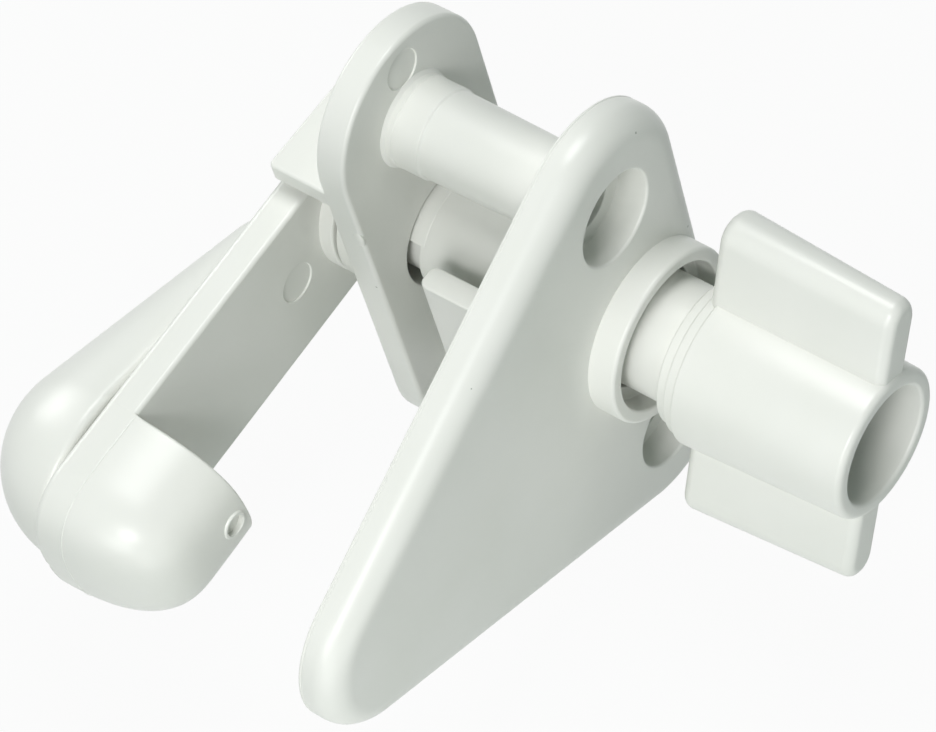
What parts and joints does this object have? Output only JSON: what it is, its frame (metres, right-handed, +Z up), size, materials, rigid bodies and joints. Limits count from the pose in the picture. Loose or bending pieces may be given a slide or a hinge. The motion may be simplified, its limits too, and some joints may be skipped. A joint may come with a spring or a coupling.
{
  "type": "gate latch",
  "caption": "Plastic gate latch whose plates clamp a gate board, with a wing knob in front that turns a hooked lever behind to catch on the gate post.",
  "frame": {"origin": "on the spindle's axis, in the face of the rear plate that bears on the gate board", "axes": "+Y along the spindle from the knob to the lever, -X along the lever, +Z up along the row of posts"},
  "size_m": [0.1021, 0.1285, 0.0958],
  "materials": {
    "white_plastic": "glossy off-white moulding",
    "zinc_steel": "zinc plated"
  },
  "bodies": {
    "gate_frame": {"front_plate": "white_plastic", "rear_plate": "white_plastic", "upper_post": "white_plastic", "lower_post": "white_plastic"},
    "turning_set": {"spindle": "white_plastic", "wing_knob": "white_plastic", "lever_arm": "white_plastic", "lever_grip": "white_plastic", "spindle_screw": "zinc_steel", "screw_washer": "zinc_steel", "spindle_nut": "zinc_steel", "grip_screw": "zinc_steel"}
  },
  "joints": [
    {"name": "lever_turn", "type": "hinge", "parent": "gate_frame", "child": "turning_set", "pos_m": [0, 0, 0], "axis": [0, 1, 0], "range_deg": [-173, 3]}
  ]
}
